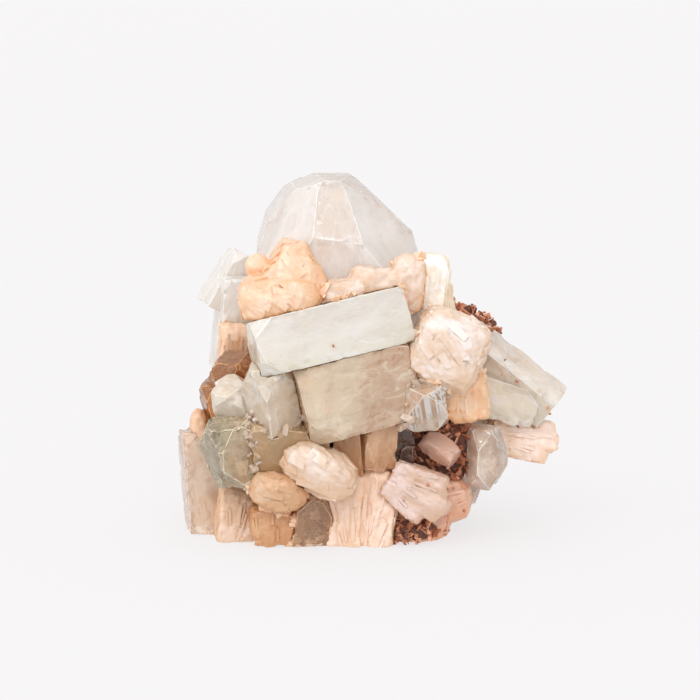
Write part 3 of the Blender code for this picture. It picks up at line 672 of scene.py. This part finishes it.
class Nodes:
    """Short way to add and join shader nodes."""

    def __init__(self, name):
        self.material = bpy.data.materials.new(name)
        self.material.use_nodes = True
        self.tree = self.material.node_tree
        self.shader = self.tree.nodes["Principled BSDF"]
        self.output = self.tree.nodes["Material Output"]
        coords = self.add("ShaderNodeTexCoord")
        self.place = coords.outputs["Object"]
        self.facing = coords.outputs["Normal"]

    def add(self, kind, values=None, **options):
        """New node with plain values on its sockets."""
        return add_node(self.tree, kind, values, **options)

    def surface(self, values):
        """Plain values on the sockets of the surface shader."""
        for socket, value in values.items():
            self.shader.inputs[socket].default_value = value

    def skin(self, colour, rough):
        """Colour and roughness of the surface."""
        self.join(colour, self.shader.inputs["Base Color"])
        self.join(rough, self.shader.inputs["Roughness"])

    def join(self, source, target):
        """Link an output to an input."""
        self.tree.links.new(source, target)

    def grain(self, direction, lengthwise):
        """Coordinates stretched along a direction."""
        along = Vector(direction).normalized()
        turn = along.to_track_quat("Z", "Y").inverted().to_euler()
        spin = self.add("ShaderNodeMapping", {"Rotation": turn})
        self.join(self.place, spin.inputs["Vector"])
        stretch = self.add("ShaderNodeMapping", {"Scale": (1.0, 1.0, lengthwise)})
        self.join(spin.outputs["Vector"], stretch.inputs["Vector"])
        return stretch.outputs["Vector"]

    def noise(self, scale, detail=3.0, rough=0.55, coords=None, twist=0.0):
        """Noise value from 0 to 1."""
        node = self.add("ShaderNodeTexNoise",
                        {"Scale": scale, "Detail": detail, "Roughness": rough, "Distortion": twist})
        self.join(coords or self.place, node.inputs["Vector"])
        return node.outputs["Fac"]

    def cells(self, coords, scale, bend):
        """Tone of each cell and the distance to its edge, in a pattern of bent splinters."""
        wave = self.add("ShaderNodeTexNoise", {"Scale": 130.0, "Detail": 3.0})
        self.join(self.place, wave.inputs["Vector"])
        moved = self.add("ShaderNodeVectorMath", {1: (bend, bend, bend)}, operation="MULTIPLY_ADD")
        self.join(wave.outputs["Color"], moved.inputs[0])
        self.join(coords, moved.inputs[2])
        tones = self.add("ShaderNodeTexVoronoi", {"Scale": scale})
        rims = self.add("ShaderNodeTexVoronoi", feature="DISTANCE_TO_EDGE")
        rims.inputs["Scale"].default_value = scale
        for node in (tones, rims):
            self.join(moved.outputs["Vector"], node.inputs["Vector"])
        split = self.add("ShaderNodeSeparateColor")
        self.join(tones.outputs["Color"], split.inputs["Color"])
        return split.outputs["Red"], rims.outputs["Distance"]

    def ramp_along(self, source, direction, ragged, share, first, last):
        """Value from 0 to 1 as a vector goes along a direction, with a ragged border."""
        node = self.add("ShaderNodeVectorMath", {1: Vector(direction).normalized()}, operation="DOT_PRODUCT")
        self.join(source, node.inputs[0])
        return self.span(self.sum(node.outputs["Value"], self.noise(ragged, 3.0), share), first, last, 0.0, 1.0)

    def toward(self, direction, first, last):
        """Value from 0 to 1 as the surface turns toward a direction of the cluster."""
        return self.ramp_along(self.facing, direction, 160.0, 0.3, first, last)

    def along(self, direction, first, last):
        """Value from 0 to 1 on the way from one place to another along a direction."""
        return self.ramp_along(self.place, direction, 110.0, 0.004, first, last)

    def span(self, value, low, high, out_low, out_high):
        """Map a value from one range to another, clamped."""
        node = self.add("ShaderNodeMapRange",
                        {"From Min": low, "From Max": high, "To Min": out_low, "To Max": out_high})
        self.join(value, node.inputs["Value"])
        return node.outputs["Result"]

    def blend(self, amount, first, second):
        """Mix two colours; each may be a colour or an output."""
        node = self.add("ShaderNodeMix", data_type="RGBA")
        self.join(amount, node.inputs[0])
        for value, socket in ((first, node.inputs[6]), (second, node.inputs[7])):
            if isinstance(value, bpy.types.NodeSocket):
                self.join(value, socket)
            else:
                socket.default_value = (*value[:3], 1.0)
        return node.outputs[2]

    def multiply(self, first, second):
        """Product of two colour outputs."""
        node = self.add("ShaderNodeVectorMath", operation="MULTIPLY")
        self.join(first, node.inputs[0])
        self.join(second, node.inputs[1])
        return node.outputs["Vector"]

    def sum(self, first, second, share):
        """First value plus a share of the second."""
        node = self.add("ShaderNodeMath", {1: share}, operation="MULTIPLY_ADD")
        self.join(second, node.inputs[0])
        self.join(first, node.inputs[2])
        return node.outputs[0]

    def relief(self, height, distance, strength):
        """Fine relief on the surface."""
        node = self.add("ShaderNodeBump", {"Strength": strength, "Distance": distance})
        self.join(height, node.inputs["Height"])
        self.join(node.outputs["Normal"], self.shader.inputs["Normal"])


def tint(colour, factor):
    """Colour made lighter or darker."""
    return tuple(min(1.0, c * f) for c, f in zip(colour, factor))


def crystal_material(name, look, direction, shade, clear, density, fade=None, painted_reflection_way=None):
    """Glassy apophyllite: cloudy veils, painted light that makes some faces paler by the way they turn, fine
    striations, a painted striped reflection on a face where given, and plain absorption inside.
    """
    made = Nodes(name)
    body = tint(look.body, shade)
    deep, light, warm = look.cloud
    veil = made.noise(120.0, 5.0, 0.62, made.grain(direction, 0.22), 1.4)
    patch = made.noise(75.0, 4.0, 0.6, None, 0.8)
    painted_face_light = made.noise(1.7, 0.0, 0.5, made.facing)
    wisp = made.noise(330.0, 4.0, 0.65, made.grain(direction, 0.35), 2.0)
    colour = made.blend(made.span(veil, 0.4, 0.6, 0.0, 1.0), tint(body, deep), body)
    colour = made.blend(made.span(patch, 0.46, 0.62, 0.0, 0.85), colour, tint(body, warm))
    if fade:
        way, first, last, end_shade = fade
        colour = made.blend(made.along(way, first * MM, last * MM), colour, tint(body, end_shade))
    # Painted light: some faces paler by the way they turn
    colour = made.blend(made.span(painted_face_light, 0.42, 0.64, 0.0, 0.7), colour, tint(body, light))
    colour = made.blend(made.span(wisp, 0.54, 0.66, 0.0, 0.75), colour, tint(body, light))
    strength, splinters = look.flaws
    tone, rim = made.cells(made.grain(direction, 0.45), splinters, 0.01)
    colour = made.multiply(colour, made.blend(made.span(tone, 0.0, 1.0, 0.0, strength), WHITE, FLAW_COLOUR))
    small, small_rim = made.cells(made.grain(direction, 0.6), splinters * 2.7, 0.012)
    dark = made.blend(made.span(small, 0.35, 1.0, 0.0, strength * 0.8), WHITE, FLAW_COLOUR)
    colour = made.multiply(colour, dark)
    for edge, bright in ((rim, strength), (small_rim, strength * 0.7)):
        colour = made.blend(made.span(edge, 0.0, 0.03, bright, 0.0), colour, tint(body, light))
    # Painted reflection: the face turned that way gets near-white and dark stripes
    if painted_reflection_way:
        reflection_stripe = made.noise(1500.0, 1.0, 0.5, made.grain(direction, 0.015))
        lit = made.blend(made.span(reflection_stripe, 0.42, 0.5, 0.0, 1.0), tint(body, (0.62, 0.55, 0.5)), (1.0, 1.0, 0.98))
        colour = made.blend(made.toward(painted_reflection_way, 0.9, 0.98), colour, lit)
    made.skin(colour, made.span(tone, 0.2, 0.9, *look.rough))
    made.surface({"IOR": APOPHYLLITE_IOR, "Transmission Weight": clear})
    depth = made.add("ShaderNodeVolumeAbsorption", {"Color": (*DEPTH_COLOUR, 1.0), "Density": density})
    made.join(depth.outputs["Volume"], made.output.inputs["Volume"])
    return made.material


def edge_highlight_material(name, body):
    """Painted highlight on the bevelled edges of a crystal, brighter in patches."""
    made = Nodes(name)
    highlight_patches = made.noise(500.0, 3.0, 0.6)
    dull, bright = tint(body, (0.9, 0.9, 0.9)), tint(body, (1.08, 1.14, 1.2))
    made.skin(made.blend(made.span(highlight_patches, 0.4, 0.6, 0.0, 1.0), dull, bright),
              made.span(highlight_patches, 0.3, 0.7, 0.08, 0.3))
    made.surface({"IOR": APOPHYLLITE_IOR, "Transmission Weight": 0.3})
    return made.material


def veil_material(name):
    """White wispy sheet inside a crystal."""
    made = Nodes(name)
    wisp = made.noise(260.0, 4.0, 0.6)
    made.skin(made.blend(wisp, (0.93, 0.9, 0.87), (1.0, 0.99, 0.98)), made.span(wisp, 0.35, 0.65, 0.15, 0.4))
    made.surface({"IOR": 1.0, "Transmission Weight": 0.6})
    return made.material


def pearl_material(name, body, direction, pale, deep, soft=0.25):
    """Pearly stilbite with fibres along the sheaf, and a painted sheen: paler on faces turned to the front and up,
    warmer and darker on the rest.
    """
    made = Nodes(name)
    fibres = made.grain(direction, 0.1)
    streak = made.noise(620.0, 4.0, 0.65, fibres, 0.4)
    patch = made.noise(95.0, 5.0, 0.62, None, 1.0)
    colour = made.blend(made.span(patch, 0.42, 0.6, 0.0, 1.0), tint(body, deep), tint(body, pale))
    colour = made.blend(made.span(streak, 0.45, 0.72, 0.0, 0.5), colour, tint(body, (1.05, 1.14, 1.26)))
    # Painted sheen and shade: faces turned away from the sheen direction are warmer and darker
    colour = made.blend(made.toward(PAINTED_SHEEN_WAY, 0.55, 0.96), tint(body, (1.0, 0.86, 0.7)), colour)
    made.skin(colour, made.span(streak, 0.3, 0.7, 0.26, 0.46))
    made.surface({"IOR": STILBITE_IOR, "Subsurface Weight": soft, "Subsurface Radius": (1.0, 0.55, 0.32),
                  "Subsurface Scale": 0.0016, "Coat Weight": 0.5, "Coat Roughness": 0.12})
    made.relief(made.sum(streak, made.noise(300.0, 4.0, 0.6), 0.5), 0.00035, 0.55)
    return made.material


def crust_material(name, body):
    """Brick-red blades with orange and dark ones between them."""
    made = Nodes(name)
    patch = made.noise(420.0, 3.0, 0.6)
    orange = made.noise(260.0, 2.0, 0.5)
    colour = made.blend(made.span(patch, 0.38, 0.62, 0.0, 1.0), tint(body, (0.6, 0.5, 0.45)), body)
    colour = made.blend(made.span(orange, 0.5, 0.66, 0.0, 0.8), colour, tint(body, (1.55, 2.0, 2.2)))
    made.skin(colour, made.span(patch, 0.3, 0.7, 0.3, 0.55))
    made.surface({"IOR": STILBITE_IOR, "Subsurface Weight": 0.25, "Subsurface Radius": (1.0, 0.35, 0.15),
                  "Subsurface Scale": 0.001})
    made.relief(made.noise(1600.0, 3.0, 0.6), 0.0001, 0.4)
    return made.material


def basalt_material(name, body):
    """Dark grainy rock."""
    made = Nodes(name)
    grain = made.noise(900.0, 5.0, 0.65)
    colour = made.blend(made.span(grain, 0.4, 0.7, 0.0, 1.0), body, tint(body, (2.4, 2.4, 2.4)))
    made.skin(colour, made.span(grain, 0.3, 0.7, 0.7, 0.95))
    made.relief(grain, 0.0004, 0.7)
    return made.material


# Operators

def add_crystals(context, table, colour, group):
    """Dress every crystal of a table in a colour and in the look of its group."""
    sizes, colours = cluster_settings(context)
    look = CrystalLook(getattr(colours, colour), *LOOKS[group])
    for node, (direction, shade, clear, depth, relief, _) in table.items():
        own_look = look._replace(flaws=FRACTURED.get(node, look.flaws))
        material = crystal_material(f"{node}_finish", own_look, direction, shade, clear, depth, FADES.get(node),
                                    PAINTED_REFLECTION_FACES.get(node))
        # Each crystal's bevelled edges get a painted highlight
        add_piece(f"{node}_faces", crystal_mesh(node, direction, sizes, relief), node, material, FACET_ANGLE,
                  edge_highlight_material(f"{node}_edges", tint(look.body, shade)))
    return {"FINISHED"}


def add_sheaves(context, table, colour, pale, deep):
    """Dress every stilbite sheaf of a table in a colour with its pale and deep tints."""
    sizes, colours = cluster_settings(context)
    body = getattr(colours, colour)
    for node, (foot, direction, shade) in table.items():
        material = pearl_material(f"{node}_finish", tint(body, shade), direction, pale, deep)
        add_piece(f"{node}_pearl", sheaf_mesh(node, foot, direction, sizes), node, material, ROUND_ANGLE)
        plates = leaf_plates(node, foot, sizes)
        if plates.faces:
            material = pearl_material(f"{node}_plate_finish", tint(body, shade), direction, pale, deep, 0.0)
            add_piece(f"{node}_plates", plates, None, material, BLADE_ANGLE)
    return {"FINISHED"}


class CLUSTER_OT_milky_points(bpy.types.Operator):
    """Milky apophyllite points and prisms"""

    bl_idname = "cluster.milky_points"
    bl_label = "Milky points"

    def execute(self, context):
        return add_crystals(context, MILKY_POINTS, "milky", "milky")


class CLUSTER_OT_clear_points(bpy.types.Operator):
    """Clear apophyllite points with flaws"""

    bl_idname = "cluster.clear_points"
    bl_label = "Clear points"

    def execute(self, context):
        return add_crystals(context, CLEAR_POINTS, "clear", "clear")


class CLUSTER_OT_green_prisms(bpy.types.Operator):
    """Cloudy pale green apophyllite prisms"""

    bl_idname = "cluster.green_prisms"
    bl_label = "Green prisms"

    def execute(self, context):
        return add_crystals(context, GREEN_PRISMS, "green", "green")


class CLUSTER_OT_smoky_points(bpy.types.Operator):
    """Brownish clear apophyllite points"""

    bl_idname = "cluster.smoky_points"
    bl_label = "Smoky points"

    def execute(self, context):
        return add_crystals(context, SMOKY_POINTS, "smoky", "smoky")


class CLUSTER_OT_striated_columns(bpy.types.Operator):
    """Cream striated columns"""

    bl_idname = "cluster.striated_columns"
    bl_label = "Striated columns"

    def execute(self, context):
        return add_crystals(context, STRIATED_COLUMNS, "cream", "column")


class CLUSTER_OT_peach_sheaves(bpy.types.Operator):
    """Peach stilbite sheaves"""

    bl_idname = "cluster.peach_sheaves"
    bl_label = "Peach sheaves"

    def execute(self, context):
        return add_sheaves(context, PEACH_SHEAVES, "peach", (0.99, 1.05, 1.15), (0.88, 0.78, 0.69))


class CLUSTER_OT_cream_sheaves(bpy.types.Operator):
    """Cream stilbite sheaves and fans"""

    bl_idname = "cluster.cream_sheaves"
    bl_label = "Cream sheaves"

    def execute(self, context):
        return add_sheaves(context, CREAM_SHEAVES, "cream", (1.01, 1.04, 1.12), (0.88, 0.81, 0.73))


class CLUSTER_OT_inner_veils(bpy.types.Operator):
    """Healed cracks inside the crystals"""

    bl_idname = "cluster.inner_veils"
    bl_label = "Inner veils"

    def execute(self, context):
        chance = random.Random(VEIL_SEED)
        bm = bmesh.new()
        for table in (MILKY_POINTS, CLEAR_POINTS, GREEN_PRISMS, SMOKY_POINTS):
            for node, (direction, _, _, _, _, count) in table.items():
                tree = solid_tree(node)
                for spot, normal in surface_spots(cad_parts[node].data, count, chance):
                    lean = Vector(direction).normalized() * chance.choice((0.2, 1.2)) + unit_vector(chance)
                    add_veil(bm, tree, spot - normal * chance.uniform(1.2, 4.5) * MM, lean.normalized(),
                             chance.uniform(2.5, 6.5) * MM, chance)
        add_piece("inner_veils", bm, None, veil_material("veil_finish"), BLADE_ANGLE)
        return {"FINISHED"}


class CLUSTER_OT_small_crystals(bpy.types.Operator):
    """Small crystals in the joints between the large ones"""

    bl_idname = "cluster.small_crystals"
    bl_label = "Small crystals"

    def execute(self, context):
        sizes, colours = cluster_settings(context)
        chance = random.Random(JOINT_SEED)
        groups = (
            ("small_clear_crystals", [*MILKY_POINTS, *CLEAR_POINTS, *GREEN_PRISMS, *SMOKY_POINTS],
             sizes.clear_bits, (0.8, 2.1), "clear_apophyllite", CrystalLook(colours.clear, *LOOKS["joint"])),
            ("small_peach_crystals", [*list(PEACH_SHEAVES)[1:], *CREAM_SHEAVES], sizes.peach_bits, (0.9, 2.4),
             "peach_stilbite", None),
        )
        for name, nodes, count, (small, large), slot, look in groups:
            bm = bmesh.new()
            for spot, out in joint_spots(nodes, count, chance, JOINT_GAP):
                size = chance.uniform(small, large) * MM * chance.uniform(0.6, 1.0)
                add_small_crystal(bm, spot + out * size * 0.1, out, size, chance)
            if look:
                material = crystal_material(f"{name}_finish", look, (0.1, 0.2, 1.0), (0.96, 0.96, 0.94), 0.3, 15.0)
            else:
                material = pearl_material(f"{name}_finish", colours.peach, (0.2, 0.1, 1.0),
                                          (1.0, 1.05, 1.15), (0.85, 0.75, 0.65), 0.0)
            add_piece(name, bm, None, material, SMALL_FACET_ANGLE)
        return {"FINISHED"}


class CLUSTER_OT_red_specks(bpy.types.Operator):
    """Red-brown grains scattered on the crystals"""

    bl_idname = "cluster.red_specks"
    bl_label = "Red specks"

    def execute(self, context):
        sizes, colours = cluster_settings(context)
        chance = random.Random(SPECK_SEED)
        bm = bmesh.new()
        groups = (("cross_prism", 3), ("green_prism", 3), ("lower_right_stilbite", 26), ("right_prism", 22),
                  ("front_stilbite_fan", 5), ("far_left_crystal", 3), ("front_right_stilbite_fan", 6),
                  ("stilbite_ball", 3), ("crown_point", 3), ("back_right_stilbite", 8), ("back_lower_stilbite", 4))
        for node, count in groups:
            for spot, normal in surface_spots(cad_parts[node].data, count, chance):
                lean = normal + unit_vector(chance) * 0.8
                size = chance.uniform(0.4, 1.1) * MM
                add_blade(bm, spot + normal * sizes.gap_cover, lean, unit_vector(chance), size, size * 0.7,
                          size * 0.4, chance)
        keep_inside(bm)
        add_piece("red_specks", bm, None, crust_material("speck_finish", colours.brick), BLADE_ANGLE)
        return {"FINISHED"}


class CLUSTER_OT_red_crusts(bpy.types.Operator):
    """Crusts of small brick-red blades on a dark bed, whose darkness is dark rock colour and also painted shade in
    the hollows between the blades
    """

    bl_idname = "cluster.red_crusts"
    bl_label = "Red crusts"

    def execute(self, context):
        sizes, colours = cluster_settings(context)
        crusts = (("pocket_crust", sizes.pocket_blades, (0.0, -1.0, 0.1), 1.0),
                  ("ridge_crust", sizes.ridge_blades, (0.2, -0.6, 1.0), 1.0),
                  ("base_crust", sizes.base_blades, (0.1, -1.0, 0.3), 0.7))
        for index, (node, count, facing, scale) in enumerate(crusts):
            # Dark bed: dark rock colour and also painted shade in the hollows between the blades
            add_piece(f"{node}_bed", rock_mesh(node, sizes), node,
                      basalt_material(f"{node}_bed_finish", tint(colours.brick, (0.18, 0.18, 0.22))), ROUND_ANGLE)
            bm = crust_blades(node, count, facing, sizes.blade_length * scale, CRUST_SEED + index)
            add_piece(f"{node}_blades", bm, None,
                      crust_material(f"{node}_finish", colours.brick), BLADE_ANGLE)
        return {"FINISHED"}


class CLUSTER_OT_basalt(bpy.types.Operator):
    """Dark rock that the crystals grew on"""

    bl_idname = "cluster.basalt"
    bl_label = "Basalt"

    def execute(self, context):
        sizes, colours = cluster_settings(context)
        add_piece("basalt_matrix_rock", rock_mesh("basalt_matrix", sizes), "basalt_matrix",
                  basalt_material("basalt_finish", colours.basalt), ROUND_ANGLE)
        return {"FINISHED"}


def add_floor(settings):
    """Pale floor with a soft glow."""
    bm = bmesh.new()
    bmesh.ops.create_circle(bm, cap_ends=True, segments=64, radius=12.0)
    mesh = bpy.data.meshes.new("floor")
    bm.to_mesh(mesh)
    bm.free()
    made = Nodes("floor_paper")
    speck = made.noise(300.0, 2.0, 0.5)
    made.join(made.blend(speck, tint(settings.floor_shade, (0.99, 0.99, 0.99)), settings.floor_shade),
              made.shader.inputs["Base Color"])
    made.surface({"Roughness": 0.9, "Specular IOR Level": 0.1,
                  "Emission Color": (*settings.floor_glow, 1.0), "Emission Strength": 1.0})
    mesh.materials.append(made.material)
    new_object("floor", mesh)


def add_studio_light(scene, settings):
    """Soft light from all round, brighter from the upper left."""
    scene.world = bpy.data.worlds.new("studio")
    scene.world.use_nodes = True
    tree = scene.world.node_tree
    background = tree.nodes["Background"]
    coords = add_node(tree, "ShaderNodeTexCoord")
    facing = add_node(tree, "ShaderNodeVectorMath", {1: BRIGHT_WAY.normalized()}, operation="DOT_PRODUCT")
    tree.links.new(coords.outputs["Generated"], facing.inputs[0])
    ramp = add_node(tree, "ShaderNodeMapRange", interpolation_type="SMOOTHSTEP")
    for socket, value in (("From Min", -0.7), ("From Max", 1.0),
                          ("To Min", settings.dim_side), ("To Max", settings.bright_side)):
        ramp.inputs[socket].default_value = value
    tree.links.new(facing.outputs["Value"], ramp.inputs["Value"])
    background.inputs["Color"].default_value = (1.0, 0.99, 0.985, 1.0)
    tree.links.new(ramp.outputs["Result"], background.inputs["Strength"])


def add_lamp(name, kind, power, place=(0.0, 0.0, 0.0), way=None, **options):
    """Light that shines along a way, or else at the cluster."""
    light = bpy.data.lights.new(name, kind)
    light.energy = power
    for option, value in options.items():
        setattr(light, option, value)
    lamp = new_object(name, light)
    lamp.location = place
    way = Vector(way) if way else LIGHT_TARGET - lamp.location
    lamp.rotation_euler = way.to_track_quat("-Z", "Y").to_euler()


def add_camera(scene, settings):
    """Camera at the photo's angle."""
    camera = bpy.data.cameras.new("photo_camera")
    camera.lens = settings.lens
    camera.sensor_width = 36.0
    camera.clip_start = 0.02
    camera.clip_end = 60.0
    holder = new_object("photo_camera", camera)
    back = Vector((0.0, -math.cos(settings.elevation), math.sin(settings.elevation)))
    holder.location = CAMERA_TARGET + back * settings.distance
    holder.rotation_euler = (math.pi / 2.0 - settings.elevation, 0.0, 0.0)
    scene.camera = holder


class CLUSTER_OT_stage(bpy.types.Operator):
    """Pale floor, soft light and the camera"""

    bl_idname = "cluster.stage"
    bl_label = "Stage"

    def execute(self, context):
        scene = context.scene
        settings = scene.cluster_stage
        add_floor(settings)
        add_studio_light(scene, settings)
        add_lamp("window", "SUN", settings.window_power, way=(0.55, 0.62, -0.8), angle=math.radians(55.0))
        add_lamp("front_panel", "AREA", settings.panel_power, (0.22, -0.95, 0.72), shape="SQUARE", size=0.34)
        add_lamp("small_lamp", "AREA", settings.spark_power, (-0.38, -0.8, 0.78), size=0.06)
        add_camera(scene, settings)
        scene.view_settings.view_transform = "Standard"
        scene.cycles.max_bounces = LIGHT_BOUNCES
        scene.cycles.transmission_bounces = LIGHT_BOUNCES
        scene.cycles.glossy_bounces = LIGHT_BOUNCES
        scene.cycles.diffuse_bounces = 12
        scene.cycles.volume_bounces = 1
        scene.cycles.sample_clamp_indirect = 4.0
        return {"FINISHED"}


class CLUSTER_PT_pieces(bpy.types.Panel):
    """Pieces of the cluster"""

    bl_idname = "CLUSTER_PT_pieces"
    bl_label = "Apophyllite cluster"
    bl_space_type = "VIEW_3D"
    bl_region_type = "UI"
    bl_category = "Cluster"

    def draw(self, context):
        for operator in OPERATORS:
            self.layout.operator(operator.bl_idname)


OPERATORS = (
    CLUSTER_OT_stage,
    CLUSTER_OT_milky_points,
    CLUSTER_OT_clear_points,
    CLUSTER_OT_green_prisms,
    CLUSTER_OT_smoky_points,
    CLUSTER_OT_striated_columns,
    CLUSTER_OT_peach_sheaves,
    CLUSTER_OT_cream_sheaves,
    CLUSTER_OT_red_crusts,
    CLUSTER_OT_basalt,
    CLUSTER_OT_inner_veils,
    CLUSTER_OT_small_crystals,
    CLUSTER_OT_red_specks,
)
CLASSES = (ClusterSizes, ClusterColours, StageSettings, *OPERATORS, CLUSTER_PT_pieces)


def register():
    """Register the classes and the settings."""
    for item in CLASSES:
        bpy.utils.register_class(item)
    bpy.types.Scene.cluster_sizes = PointerProperty(type=ClusterSizes)
    bpy.types.Scene.cluster_colours = PointerProperty(type=ClusterColours)
    bpy.types.Scene.cluster_stage = PointerProperty(type=StageSettings)


def unregister():
    """Remove the settings and the classes."""
    del bpy.types.Scene.cluster_stage
    del bpy.types.Scene.cluster_colours
    del bpy.types.Scene.cluster_sizes
    for item in reversed(CLASSES):
        bpy.utils.unregister_class(item)


def main():
    """Register the settings and dress the cluster."""
    register()
    bpy.ops.cluster.stage()
    bpy.ops.cluster.milky_points()
    bpy.ops.cluster.clear_points()
    bpy.ops.cluster.green_prisms()
    bpy.ops.cluster.smoky_points()
    bpy.ops.cluster.striated_columns()
    bpy.ops.cluster.peach_sheaves()
    bpy.ops.cluster.cream_sheaves()
    bpy.ops.cluster.red_crusts()
    bpy.ops.cluster.basalt()
    bpy.ops.cluster.inner_veils()
    bpy.ops.cluster.small_crystals()
    bpy.ops.cluster.red_specks()


if __name__ == "__main__":
    main()
